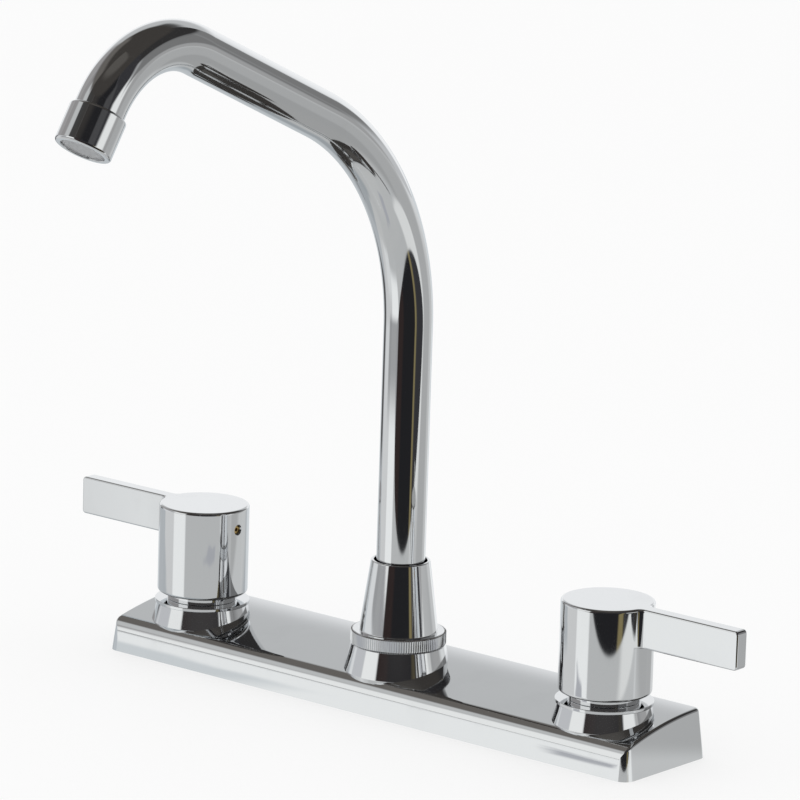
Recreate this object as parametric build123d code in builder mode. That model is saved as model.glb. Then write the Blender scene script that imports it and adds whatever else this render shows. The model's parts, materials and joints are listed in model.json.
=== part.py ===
"""Two handle kitchen faucet: deck plate on 8 inch centres, blade levers and a high swivel spout.

Millimetres. X runs along the plate, -Y points at the user and Z is up. The origin is on the spout's
axis, in the plane that the plate and its gasket rest on.
"""

import os
from math import cos, pi, radians, sin, sqrt, tan

from build123d import *

os.makedirs("parts", exist_ok=True)

# ---------------------------------------------------------------- driving sizes

# Clearances
running_fit = 0.08  # a shaft or seal turning in its bore, on the radius
thread_gap = 0.05  # screwed and brazed joints, on the radius
loose_gap = 0.3  # pieces that only pass each other
turning_play = 0.1  # along the axis, between pieces that turn on each other

# Deck plate
handle_spacing = 203.2  # between the handle axes, 8 inches
plate_length = 262.0
plate_front = 23.5  # from the handle axes to the front bottom edge
plate_back = 28.0
plate_height = 19.4  # at the back edge, where the crown is level
plate_wall = 2.4
side_draft = 7.5  # degrees
corner_radius = 5.0
crown_radius = 184.0
shoulder_setback = 6.0  # the crown rolls over this far behind the front bottom edge
shoulder_radius = 6.0
shoulder_slope = 75.0  # degrees, where the roll ends
edge_round = 1.5

# Flared bases
base_flare = 0.3  # outwards for each millimetre down
base_rim_radius = 17.9
base_rim_round = 0.5
base_top_wall = 3.1
handle_base_rise = 3.2  # above the plate's height
handle_rim_drop = 1.3
spout_base_rise = 6.0

# Gasket and under-deck fastening
gasket_thickness = 1.5
gasket_gap = 0.25
counter_thickness = 12.0  # the deck that the nuts are set to clamp
washer_radius = 19.0
washer_thickness = 1.2
mounting_nut_width = 30.0  # across flats
mounting_nut_height = 8.0
mounting_nut_skirt = 2.0

# Valve bodies
shank_radius = 10.48  # half inch straight pipe thread
shank_bore = 7.0
shank_length = 50.0
supply_thread_length = 18.0
relief_width = 2.0
relief_depth = 0.9
valve_body_radius = 14.6
valve_neck_radius = 12.0
valve_neck_height = 7.4  # above the base that it stands through
chamber_radius = 9.0
seat_height = 5.5
seat_bore = 5.0
seat_web = 2.5

# Crossover tubes, 3/8 inch
crossover_radius = 4.76
crossover_wall = 0.9
crossover_height = 9.5
socket_depth = 3.8
port_radius = 3.6

# Spout post
post_body_radius = 15.0
post_neck_radius = 11.6
post_neck_height = 18.6
post_chamber_radius = 8.0
post_floor = 3.0
seal_bore_radius = 10.0
seal_bore_depth = 26.0

# Bonnet nuts
bonnet_radius = 14.0
bonnet_lip = 2.5
bonnet_edge_round = 0.5

# Cartridges
cartridge_flange_radius = 11.6
cartridge_flange = 1.5
cartridge_body_length = 12.0
cartridge_skirt_radius = 8.0
cartridge_neck_radius = 7.0
cartridge_neck_length = 6.5
cartridge_bottom_gap = 0.5
window_width = 5.0
window_height = 1.9
seat_seal_inner = 5.3
seat_seal_thickness = 2.55
disc_radius = 6.9
disc_thickness = 2.0
disc_film = 0.05
disc_port_radius = 1.7
disc_port_offset = 3.9
skirt_bore = 7.1
stem_radius = 4.92
stem_flange_radius = 6.6
stem_flange = 2.0
stem_tongue_width = 2.4
stem_tongue_depth = 0.9
spline_radius = 4.4
spline_flat = 3.8  # from the axis to the flat that the set screw bears on
stem_ring_section = 0.55
cartridge_ring_section = 0.8

# Handles
hub_radius = 18.0
hub_height = 34.7
hub_gap = 4.2  # from the base up to the hub
hub_top_round = 1.1
hub_foot_round = 1.4
hub_cavity_radius = 15.2
hub_cavity_depth = 12.7
stem_socket_depth = 18.0
lever_reach = 63.0  # from the handle's axis to the tip
lever_height = 15.2
lever_thickness = 6.0
lever_tip_round = 1.6
lever_edge_round = 0.7
lever_root_round = 3.0
set_screw_radius = 1.6
set_screw_drop = 7.9  # below the top of the hub
set_screw_recess = 1.0
set_screw_socket = 0.85
set_screw_socket_depth = 1.8

# Spout nut
knurl_radius = 18.5
knurl_height = 3.2
knurl_depth = 0.35
knurl_teeth = 120
knurl_shoulder = 1.0
knurl_chamfer = 1.5
collar_foot_radius = 15.4
collar_top_radius = 11.5
collar_top_bore = 10.4
collar_height = 28.1
collar_top_round = 0.45

# Spout
tube_radius = 9.525  # 3/4 inch outside
tube_wall = 0.95
riser_top = 150.2
main_bend_radius = 99.0
main_bend_angle = 65.4
reach_length = 76.8
tip_bend_radius = 40.0
tip_bend_angle = 81.6
tip_length = 2.5
tip_thread = 6.0
fitting_shoulder_radius = 11.2
fitting_shoulder = 3.0
fitting_length = 22.0
fitting_bore = 6.5
fitting_spigot = 9.0
glide_ring_thickness = 1.0
seal_section = 1.1
seal_drops = (6.0, 14.0)  # O-rings below the top of the post

# Aerator
aerator_radius = 10.9
aerator_length = 15.5
aerator_top_round = 1.4
aerator_foot_round = 0.7
aerator_lip = 0.9
aerator_mouth_radius = 8.5
aerator_insert_radius = 9.1
aerator_washer_thickness = 1.5
aerator_washer_bore = 6.5
grille_thickness = 1.6
grille_rim = 0.8
grille_slot = 0.5
grille_pitch = 0.95
flow_hole_radius = 1.0
flow_hole_circle = 5.2
flow_holes = 10
flow_floor = 2.0
flow_wall = 1.2

# ---------------------------------------------------------------- derived heights

handle_seat = plate_height + handle_base_rise
spout_seat = plate_height + spout_base_rise
valve_shoulder = handle_seat - base_top_wall
post_shoulder = spout_seat - base_top_wall
valve_neck_top = handle_seat + valve_neck_height
cartridge_flange_top = valve_neck_top + cartridge_flange
cartridge_top = cartridge_flange_top + cartridge_neck_length
post_top = spout_seat + post_neck_height
fitting_shoulder_foot = post_top + turning_play
tube_foot = fitting_shoulder_foot + fitting_shoulder
glide_ring_foot = tube_foot + turning_play
nut_ledge = glide_ring_foot + glide_ring_thickness
fixed_disc_foot = seat_height + seat_seal_thickness
turning_disc_foot = fixed_disc_foot + disc_thickness + disc_film
stem_foot = turning_disc_foot + disc_thickness
skirt_ceiling = stem_foot + stem_flange + loose_gap
hub_foot = handle_seat + hub_gap
hub_top = hub_foot + hub_height
hub_cavity_top = hub_foot + hub_cavity_depth
set_screw_height = hub_top - set_screw_drop
tube_bore = tube_radius - tube_wall
hands = (("left", -1), ("right", 1))  # name, and the way that the lever points along X

# ---------------------------------------------------------------- shared forms


def save(piece, name):
    """Label a finished piece and write its STEP file."""
    piece.part.label = name
    export_step(piece.part, f"parts/{name}.step")


def section_at(x):
    """The XZ plane moved to an upright axis at x, for profiles of turned pieces."""
    return Plane(origin=(x, 0, 0), x_dir=(1, 0, 0), z_dir=(0, -1, 0))


def upright(x):
    """The upright axis at x."""
    return Axis((x, 0, 0), (0, 0, 1))


def drafted_block(inset, height):
    """A block on the plate's outline with its drafted sides, inset on every side."""
    length = plate_length - 2 * inset
    depth = plate_front + plate_back - 2 * inset
    with BuildPart() as block:
        with BuildSketch():
            with Locations((0, (plate_back - plate_front) / 2)):
                RectangleRounded(length, depth, max(corner_radius - inset, edge_round))
        extrude(amount=height, taper=side_draft)
    return block.part


def under_crown(drop):
    """Everything under the crowned top and its front shoulder, lowered by drop."""
    crown = crown_radius - drop
    roll = shoulder_radius - drop
    lean = (plate_front - shoulder_setback + plate_back) / crown_radius
    crown_centre_z = plate_height - crown_radius
    start = (plate_back - crown * lean, crown_centre_z + crown * sqrt(1 - lean**2))
    middle_lean = lean / 2
    crown_middle = (plate_back - crown * middle_lean, crown_centre_z + crown * sqrt(1 - middle_lean**2))
    roll_centre = (start[0] + roll * lean, start[1] - roll * sqrt(1 - lean**2))
    slope = radians(shoulder_slope)
    finish = (roll_centre[0] - roll * sin(slope), roll_centre[1] + roll * cos(slope))
    run_out = (finish[1] + plate_height) / tan(slope)
    with BuildPart() as region:
        with BuildSketch(Plane.YZ.offset(-plate_length / 2)):
            with BuildLine():
                top = ThreePointArc((plate_back, plate_height - drop), crown_middle, start)
                TangentArc(start, finish, tangent=top % 1)
                Polyline(
                    finish,
                    (finish[0] - run_out, -plate_height),
                    (2 * plate_back, -plate_height),
                    (2 * plate_back, plate_height - drop),
                    (plate_back, plate_height - drop),
                )
            make_face()
        extrude(amount=plate_length)
    return region.part


def flared_base(x, seat, rim_drop):
    """A base that flares down into the plate, held inside the plate's drafted sides."""
    rim = seat - rim_drop
    foot_radius = base_rim_radius + base_flare * rim
    with BuildPart() as base:
        with BuildSketch(section_at(x)) as profile:
            with BuildLine():
                Polyline(
                    (0, 0),
                    (foot_radius, 0),
                    (base_rim_radius, rim),
                    (bonnet_radius, seat),
                    (0, seat),
                    close=True,
                )
            make_face()
            fillet(profile.vertices().group_by(Axis.Y)[-2], base_rim_round)
        revolve(axis=upright(x))
        add(drafted_block(0, seat + plate_height), mode=Mode.INTERSECT)
    return base.part


def lever_blade(x, outward):
    """The flat blade from the handle's axis to its tip, all its edges rounded."""
    tip_x = x + outward * lever_reach
    with BuildPart() as blade:
        with BuildSketch(section_at(0)) as side:
            with BuildLine():
                Polyline(
                    (x, hub_top - lever_height),
                    (tip_x, hub_top - lever_height),
                    (tip_x, hub_top),
                    (x, hub_top),
                    close=True,
                )
            make_face()
            fillet(side.vertices().filter_by(lambda corner: abs(corner.X - tip_x) < 1), lever_tip_round)
        extrude(amount=lever_thickness / 2, both=True)
        flanks = blade.faces().filter_by(Axis.Y)
        fillet([edge for face in flanks for edge in face.edges() if edge.center().X != x], lever_edge_round)
    return blade.part


def o_ring(name, x, height, centre_radius, section):
    """A round seal about an upright axis."""
    with BuildPart() as ring:
        with BuildSketch(section_at(x)):
            with Locations((centre_radius, height)):
                Circle(section)
        revolve(axis=upright(x))
    save(ring, name)


# ---------------------------------------------------------------- deck plate and gasket

with BuildPart() as deck_plate:
    add(drafted_block(0, plate_height + edge_round))
    add(under_crown(0), mode=Mode.INTERSECT)
    top_faces = deck_plate.faces().filter_by(lambda face: face.normal_at().Z > 0.2)
    rim_edges = [
        edge
        for face in top_faces
        for edge in face.edges()
        if sum(edge in other.edges() for other in top_faces) == 1
    ]
    fillet(rim_edges, edge_round)
    for _, outward in hands:
        add(flared_base(outward * handle_spacing / 2, handle_seat, handle_rim_drop))
    add(flared_base(0, spout_seat, 0))
    add(drafted_block(plate_wall, plate_height) & under_crown(plate_wall), mode=Mode.SUBTRACT)
    with BuildSketch():
        Circle(post_body_radius + loose_gap)
    extrude(amount=post_shoulder, mode=Mode.SUBTRACT)
    with BuildSketch():
        Circle(post_neck_radius + loose_gap)
    extrude(amount=spout_seat, mode=Mode.SUBTRACT)
    with BuildSketch():
        with GridLocations(handle_spacing, 0, 2, 1):
            Circle(valve_body_radius + loose_gap)
    extrude(amount=valve_shoulder, mode=Mode.SUBTRACT)
    with BuildSketch():
        with GridLocations(handle_spacing, 0, 2, 1):
            Circle(valve_neck_radius + loose_gap)
    extrude(amount=handle_seat, mode=Mode.SUBTRACT)
save(deck_plate, "deck_plate")

with BuildPart() as base_gasket:
    with BuildSketch():
        inset = plate_wall + gasket_gap
        with Locations((0, (plate_back - plate_front) / 2)):
            RectangleRounded(
                plate_length - 2 * inset,
                plate_front + plate_back - 2 * inset,
                max(corner_radius - inset, edge_round),
            )
        with GridLocations(handle_spacing, 0, 2, 1):
            Circle(shank_radius + loose_gap, mode=Mode.SUBTRACT)
    extrude(amount=gasket_thickness)
save(base_gasket, "base_gasket")

# ---------------------------------------------------------------- valves, one on each side

for hand, outward in hands:
    x_axis = outward * handle_spacing / 2

    with BuildPart() as valve_body:
        with BuildSketch(section_at(x_axis)):
            with BuildLine():
                Polyline(
                    (shank_bore, -shank_length),
                    (shank_radius, -shank_length),
                    (shank_radius, gasket_thickness),
                    (valve_body_radius, gasket_thickness),
                    (valve_body_radius, valve_shoulder),
                    (valve_neck_radius, valve_shoulder),
                    (valve_neck_radius, valve_neck_top),
                    (chamber_radius, valve_neck_top),
                    (chamber_radius, seat_height),
                    (seat_bore, seat_height),
                    (seat_bore, seat_height - seat_web),
                    (shank_bore, seat_height - seat_web),
                    close=True,
                )
            make_face()
        revolve(axis=upright(x_axis))
        with BuildSketch(Plane.XY.offset(-shank_length + supply_thread_length)):
            with Locations((x_axis, 0)):
                Circle(shank_radius + relief_depth)
                Circle(shank_radius - relief_depth, mode=Mode.SUBTRACT)
        extrude(amount=relief_width, mode=Mode.SUBTRACT)
        port_plane = Plane(origin=(x_axis, 0, crossover_height), z_dir=(-outward, 0, 0))
        with BuildSketch(port_plane):
            Circle(port_radius)
        extrude(amount=valve_body_radius, mode=Mode.SUBTRACT)
        with BuildSketch(port_plane.offset(valve_body_radius - socket_depth)):
            Circle(crossover_radius + thread_gap)
        extrude(amount=2 * socket_depth, mode=Mode.SUBTRACT)
    save(valve_body, f"{hand}_valve_body")

    with BuildPart() as crossover_tube:
        socket_face = x_axis - outward * (valve_body_radius - socket_depth)
        with BuildSketch(Plane(origin=(socket_face, 0, crossover_height), z_dir=(-outward, 0, 0))):
            Circle(crossover_radius)
            Circle(crossover_radius - crossover_wall, mode=Mode.SUBTRACT)
        extrude(amount=abs(socket_face) - (post_body_radius - socket_depth))
    save(crossover_tube, f"{hand}_crossover_tube")

    with BuildPart() as cartridge_shell:
        body_foot = valve_neck_top - cartridge_body_length
        body_radius = chamber_radius - thread_gap
        groove_foot = body_foot + cartridge_body_length / 2 - cartridge_ring_section - thread_gap
        groove_top = groove_foot + 2 * (cartridge_ring_section + thread_gap)
        groove_floor = chamber_radius - running_fit - 2 * cartridge_ring_section - thread_gap / 2
        with BuildSketch(section_at(x_axis)):
            with BuildLine():
                Polyline(
                    (skirt_bore, seat_height + cartridge_bottom_gap),
                    (cartridge_skirt_radius, seat_height + cartridge_bottom_gap),
                    (cartridge_skirt_radius, body_foot),
                    (body_radius, body_foot),
                    (body_radius, groove_foot),
                    (groove_floor, groove_foot),
                    (groove_floor, groove_top),
                    (body_radius, groove_top),
                    (body_radius, valve_neck_top),
                    (cartridge_flange_radius, valve_neck_top),
                    (cartridge_flange_radius, cartridge_flange_top),
                    (cartridge_neck_radius, cartridge_flange_top),
                    (cartridge_neck_radius, cartridge_top),
                    (stem_radius + running_fit, cartridge_top),
                    (stem_radius + running_fit, skirt_ceiling),
                    (skirt_bore, skirt_ceiling),
                    close=True,
                )
            make_face()
        revolve(axis=upright(x_axis))
        with BuildSketch(Plane.XY.offset(skirt_ceiling - window_height)):
            with Locations((x_axis, 0)):
                Rectangle(window_width, 3 * skirt_bore)
        extrude(amount=window_height, mode=Mode.SUBTRACT)
    save(cartridge_shell, f"{hand}_cartridge_shell")
    o_ring(
        f"{hand}_cartridge_o_ring",
        x_axis,
        (groove_foot + groove_top) / 2,
        chamber_radius - running_fit - cartridge_ring_section,
        cartridge_ring_section,
    )

    with BuildPart() as seat_seal:
        with BuildSketch(Plane.XY.offset(seat_height)):
            with Locations((x_axis, 0)):
                Circle(disc_radius)
                Circle(seat_seal_inner, mode=Mode.SUBTRACT)
        extrude(amount=seat_seal_thickness)
    save(seat_seal, f"{hand}_seat_seal")

    with BuildPart() as fixed_disc:
        with BuildSketch(Plane.XY.offset(fixed_disc_foot)):
            with Locations((x_axis, 0)):
                Circle(disc_radius)
            with Locations((x_axis, disc_port_offset), (x_axis, -disc_port_offset)):
                Circle(disc_port_radius, mode=Mode.SUBTRACT)
        extrude(amount=disc_thickness)
    save(fixed_disc, f"{hand}_fixed_disc")

    # The handle is shut at rest, so the turning disc's ports stand a quarter turn from the fixed ones.
    with BuildPart() as turning_disc:
        with BuildSketch(Plane.XY.offset(turning_disc_foot)):
            with Locations((x_axis, 0)):
                Circle(disc_radius)
            with Locations((x_axis + disc_port_offset, 0), (x_axis - disc_port_offset, 0)):
                Circle(disc_port_radius, mode=Mode.SUBTRACT)
        extrude(amount=disc_thickness)
        with BuildSketch(Plane.XY.offset(stem_foot)):
            with Locations((x_axis, 0)):
                Rectangle(stem_tongue_width + 2 * thread_gap, 2 * disc_radius)
        extrude(amount=-stem_tongue_depth - thread_gap, mode=Mode.SUBTRACT)
    save(turning_disc, f"{hand}_turning_disc")

    with BuildPart() as stem:
        ring_height = cartridge_flange_top
        groove_half = stem_ring_section + thread_gap
        groove_floor = stem_radius - 2 * stem_ring_section - thread_gap / 2
        with BuildSketch(section_at(x_axis)):
            with BuildLine():
                Polyline(
                    (0, stem_foot),
                    (stem_flange_radius, stem_foot),
                    (stem_flange_radius, stem_foot + stem_flange),
                    (stem_radius, stem_foot + stem_flange),
                    (stem_radius, ring_height - groove_half),
                    (groove_floor, ring_height - groove_half),
                    (groove_floor, ring_height + groove_half),
                    (stem_radius, ring_height + groove_half),
                    (stem_radius, hub_cavity_top),
                    (spline_radius, hub_cavity_top),
                    (spline_radius, hub_cavity_top + stem_socket_depth - loose_gap),
                    (0, hub_cavity_top + stem_socket_depth - loose_gap),
                    close=True,
                )
            make_face()
        revolve(axis=upright(x_axis))
        with BuildSketch(Plane.XY.offset(stem_foot)):
            with Locations((x_axis, 0)):
                Rectangle(stem_tongue_width, 2 * stem_flange_radius - stem_tongue_width)
        extrude(amount=-stem_tongue_depth)
        with BuildSketch(Plane.XY.offset(hub_cavity_top)):
            with Locations((x_axis - outward * (spline_flat + spline_radius), 0)):
                Rectangle(2 * spline_radius, 2 * spline_radius)
        extrude(amount=stem_socket_depth, mode=Mode.SUBTRACT)
    save(stem, f"{hand}_stem")
    o_ring(
        f"{hand}_stem_o_ring",
        x_axis,
        ring_height,
        stem_radius - stem_ring_section,
        stem_ring_section,
    )

    with BuildPart() as bonnet_nut:
        nut_top = cartridge_flange_top + bonnet_lip
        with BuildSketch(section_at(x_axis)):
            with BuildLine():
                Polyline(
                    (valve_neck_radius + thread_gap, handle_seat),
                    (bonnet_radius, handle_seat),
                    (bonnet_radius, nut_top),
                    (cartridge_neck_radius + loose_gap, nut_top),
                    (cartridge_neck_radius + loose_gap, cartridge_flange_top),
                    (valve_neck_radius + thread_gap, cartridge_flange_top),
                    close=True,
                )
            make_face()
        revolve(axis=upright(x_axis))
        fillet(bonnet_nut.edges().group_by(Axis.Z)[-1].sort_by(SortBy.RADIUS)[-1], bonnet_edge_round)
    save(bonnet_nut, f"{hand}_bonnet_nut")

    with BuildPart() as mounting_washer:
        with BuildSketch(Plane.XY.offset(-counter_thickness - washer_thickness)):
            with Locations((x_axis, 0)):
                Circle(washer_radius)
                Circle(shank_radius + loose_gap, mode=Mode.SUBTRACT)
        extrude(amount=washer_thickness)
    save(mounting_washer, f"{hand}_mounting_washer")

    with BuildPart() as mounting_nut:
        nut_face = -counter_thickness - washer_thickness
        with BuildSketch(Plane.XY.offset(nut_face)):
            with Locations((x_axis, 0)):
                Circle(mounting_nut_width / sqrt(3))
        extrude(amount=-mounting_nut_skirt)
        with BuildSketch(Plane.XY.offset(nut_face - mounting_nut_skirt)):
            with Locations((x_axis, 0)):
                RegularPolygon(mounting_nut_width / 2, 6, major_radius=False)
        extrude(amount=mounting_nut_skirt - mounting_nut_height)
        with BuildSketch(Plane.XY.offset(nut_face)):
            with Locations((x_axis, 0)):
                Circle(shank_radius + thread_gap)
        extrude(amount=-mounting_nut_height, mode=Mode.SUBTRACT)
    save(mounting_nut, f"{hand}_mounting_nut")

    # Hub and lever are one casting. The blade's sides run into the hub with a round.
    with BuildPart() as handle:
        with BuildSketch(Plane.XY.offset(hub_foot)):
            with Locations((x_axis, 0)):
                Circle(hub_radius)
        extrude(amount=hub_height)
        fillet(handle.edges().group_by(Axis.Z)[-1], hub_top_round)
        fillet(handle.edges().group_by(Axis.Z)[0], hub_foot_round)
        add(lever_blade(x_axis, outward))
        side_edges = handle.edges().filter_by(Axis.Z).filter_by(
            lambda edge: abs(abs(edge.center().Y) - lever_thickness / 2) < lever_edge_round / 2
        )
        fillet(side_edges.sort_by_distance((x_axis, 0, hub_top))[:2], lever_root_round)
        with BuildSketch(Plane.XY.offset(hub_foot)):
            with Locations((x_axis, 0)):
                Circle(hub_cavity_radius)
        extrude(amount=hub_cavity_depth, mode=Mode.SUBTRACT)
        with BuildSketch(Plane.XY.offset(hub_cavity_top)):
            with Locations((x_axis, 0)):
                Circle(spline_radius + thread_gap)
        extrude(amount=stem_socket_depth, mode=Mode.SUBTRACT)
        with BuildSketch(Plane(origin=(x_axis, 0, set_screw_height), z_dir=(-outward, 0, 0))):
            Circle(set_screw_radius + thread_gap)
        extrude(amount=hub_radius, mode=Mode.SUBTRACT)
    save(handle, f"{hand}_handle")

    with BuildPart() as set_screw:
        screw_length = hub_radius - set_screw_recess - spline_flat
        flat_plane = Plane(
            origin=(x_axis - outward * spline_flat, 0, set_screw_height), z_dir=(-outward, 0, 0)
        )
        with BuildSketch(flat_plane):
            Circle(set_screw_radius)
        extrude(amount=screw_length)
        with BuildSketch(flat_plane.offset(screw_length)):
            RegularPolygon(set_screw_socket, 6)
        extrude(amount=-set_screw_socket_depth, mode=Mode.SUBTRACT)
    save(set_screw, f"{hand}_set_screw")

# ---------------------------------------------------------------- spout post and nut

with BuildPart() as spout_post:
    with BuildSketch(section_at(0)):
        with BuildLine():
            seal_floor = post_top - seal_bore_depth
            Polyline(
                (0, gasket_thickness),
                (post_body_radius, gasket_thickness),
                (post_body_radius, post_shoulder),
                (post_neck_radius, post_shoulder),
                (post_neck_radius, post_top),
                (seal_bore_radius, post_top),
                (seal_bore_radius, seal_floor),
                (post_chamber_radius, seal_floor),
                (post_chamber_radius, gasket_thickness + post_floor),
                (0, gasket_thickness + post_floor),
                close=True,
            )
        make_face()
    revolve(axis=upright(0))
    with BuildSketch(Plane(origin=(0, 0, crossover_height), z_dir=(1, 0, 0))):
        Circle(port_radius)
    extrude(amount=post_body_radius, both=True, mode=Mode.SUBTRACT)
    for _, outward in hands:
        socket_floor = outward * (post_body_radius - socket_depth)
        with BuildSketch(Plane(origin=(socket_floor, 0, crossover_height), z_dir=(outward, 0, 0))):
            Circle(crossover_radius + thread_gap)
        extrude(amount=2 * socket_depth, mode=Mode.SUBTRACT)
save(spout_post, "spout_post")

with BuildPart() as spout_nut:
    nut_top = spout_seat + knurl_height + knurl_shoulder + collar_height
    knurl_top = spout_seat + knurl_height
    with BuildSketch(section_at(0)) as nut_profile:
        with BuildLine():
            Polyline(
                (post_neck_radius + thread_gap, spout_seat),
                (knurl_radius - knurl_depth, spout_seat),
                (knurl_radius - knurl_depth, knurl_top),
                (knurl_radius - knurl_chamfer, knurl_top + knurl_shoulder),
                (collar_foot_radius, knurl_top + knurl_shoulder),
                (collar_top_radius, nut_top),
                (collar_top_bore, nut_top),
                (collar_top_bore, nut_ledge),
                (post_neck_radius + thread_gap, nut_ledge),
                close=True,
            )
        make_face()
        fillet(nut_profile.vertices().group_by(Axis.Y)[-1], collar_top_round)
    revolve(axis=upright(0))
    with BuildSketch(Plane.XY.offset(spout_seat)):
        with BuildLine():
            Polyline(
                *(
                    Vector(knurl_radius - knurl_depth * (step % 2), 0).rotate(Axis.Z, 180 * step / knurl_teeth)
                    for step in range(2 * knurl_teeth)
                ),
                close=True,
            )
        make_face()
        Circle(collar_foot_radius, mode=Mode.SUBTRACT)
    extrude(amount=knurl_height)
save(spout_nut, "spout_nut")

with BuildPart() as glide_ring:
    with BuildSketch(Plane.XY.offset(glide_ring_foot)):
        Circle(post_neck_radius - turning_play)
        Circle(tube_radius + loose_gap, mode=Mode.SUBTRACT)
    extrude(amount=glide_ring_thickness)
save(glide_ring, "glide_ring")

# ---------------------------------------------------------------- spout

with BuildLine(Plane.YZ) as spine:
    riser = Line((0, tube_foot), (0, riser_top))
    main_bend = JernArc(riser @ 1, riser % 1, main_bend_radius, main_bend_angle)
    reach = Line(main_bend @ 1, main_bend @ 1 + reach_length * (main_bend % 1))
    tip_bend = JernArc(reach @ 1, reach % 1, tip_bend_radius, tip_bend_angle)
    Line(tip_bend @ 1, tip_bend @ 1 + (tip_length + tip_thread) * (tip_bend % 1))

tip_way = tip_bend % 1
tip = tip_bend @ 1 + tip_length * tip_way
tip_plane = Plane(origin=tip, x_dir=(1, 0, 0), z_dir=tip_way)
tip_section = Plane(origin=tip, x_dir=(1, 0, 0), z_dir=-tip_plane.y_dir)
tip_axis = Axis(tip, tip_way)

with BuildPart() as spout_tube:
    with BuildSketch(Plane.XY.offset(tube_foot)):
        Circle(tube_radius)
        Circle(tube_bore, mode=Mode.SUBTRACT)
    sweep(path=spine.line)
save(spout_tube, "spout_tube")

with BuildPart() as spout_end_fitting:
    barrel_radius = seal_bore_radius - running_fit
    groove_half = seal_section + thread_gap
    groove_floor = barrel_radius - 2 * seal_section - thread_gap / 2
    with BuildSketch(section_at(0)):
        with BuildLine():
            Polyline(
                (fitting_bore, post_top - fitting_length),
                (barrel_radius, post_top - fitting_length),
                (barrel_radius, fitting_shoulder_foot),
                (fitting_shoulder_radius, fitting_shoulder_foot),
                (fitting_shoulder_radius, tube_foot),
                (tube_bore - thread_gap, tube_foot),
                (tube_bore - thread_gap, tube_foot + fitting_spigot),
                (fitting_bore, tube_foot + fitting_spigot),
                close=True,
            )
        make_face()
        with Locations(*((barrel_radius, post_top - drop) for drop in seal_drops)):
            Rectangle(2 * (barrel_radius - groove_floor), 2 * groove_half, mode=Mode.SUBTRACT)
    revolve(axis=upright(0))
save(spout_end_fitting, "spout_end_fitting")

for place, drop in zip(("upper", "lower"), seal_drops):
    ring_radius = seal_bore_radius - running_fit - seal_section
    o_ring(f"{place}_o_ring", 0, post_top - drop, ring_radius, seal_section)

# ---------------------------------------------------------------- aerator

washer_end = tip_thread + aerator_washer_thickness
grille_end = aerator_length - aerator_lip
grille_start = grille_end - grille_thickness

with BuildPart() as aerator_housing:
    with BuildSketch(tip_section) as housing_profile:
        with BuildLine():
            Polyline(
                (tube_radius + thread_gap, 0),
                (aerator_radius, 0),
                (aerator_radius, aerator_length),
                (aerator_mouth_radius, aerator_length),
                (aerator_mouth_radius, grille_end),
                (tube_radius + thread_gap, grille_end),
                close=True,
            )
        make_face()
        outer_corners = housing_profile.vertices().group_by(Axis.X)[-1]
        fillet(outer_corners.sort_by(tip_axis)[0], min(aerator_top_round, aerator_radius - tube_radius - 0.2))
        fillet(housing_profile.vertices().sort_by(tip_axis)[-1], aerator_foot_round)
    revolve(axis=tip_axis)
save(aerator_housing, "aerator_housing")

with BuildPart() as aerator_washer:
    with BuildSketch(tip_plane.offset(tip_thread)):
        Circle(tube_radius - thread_gap)
        Circle(aerator_washer_bore, mode=Mode.SUBTRACT)
    extrude(amount=aerator_washer_thickness)
save(aerator_washer, "aerator_washer")

with BuildPart() as aerator_flow_former:
    with BuildSketch(tip_plane.offset(washer_end)):
        Circle(aerator_insert_radius)
        with PolarLocations(flow_hole_circle, flow_holes):
            Circle(flow_hole_radius, mode=Mode.SUBTRACT)
    extrude(amount=flow_floor)
    with BuildSketch(tip_plane.offset(washer_end + flow_floor)):
        Circle(aerator_insert_radius)
        Circle(aerator_insert_radius - flow_wall, mode=Mode.SUBTRACT)
    extrude(amount=grille_start - washer_end - flow_floor)
save(aerator_flow_former, "aerator_flow_former")

with BuildPart() as aerator_grille:
    grille_field = aerator_insert_radius - grille_rim
    slot_count = int(2 * grille_field / grille_pitch)
    with BuildSketch(tip_plane.offset(grille_start)):
        Circle(aerator_insert_radius)
        for slot in range(slot_count):
            offset_x = (slot - (slot_count - 1) / 2) * grille_pitch
            with Locations((offset_x, 0)):
                Rectangle(grille_slot, 2 * sqrt(grille_field**2 - offset_x**2), mode=Mode.SUBTRACT)
    extrude(amount=grille_thickness)
save(aerator_grille, "aerator_grille")
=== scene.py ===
"""Two handle kitchen faucet: its chrome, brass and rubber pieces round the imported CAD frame."""

import json
from math import atan2, cos, pi, radians, sin, sqrt, tan

import bmesh
import bpy
from mathutils import Matrix, Vector


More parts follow.
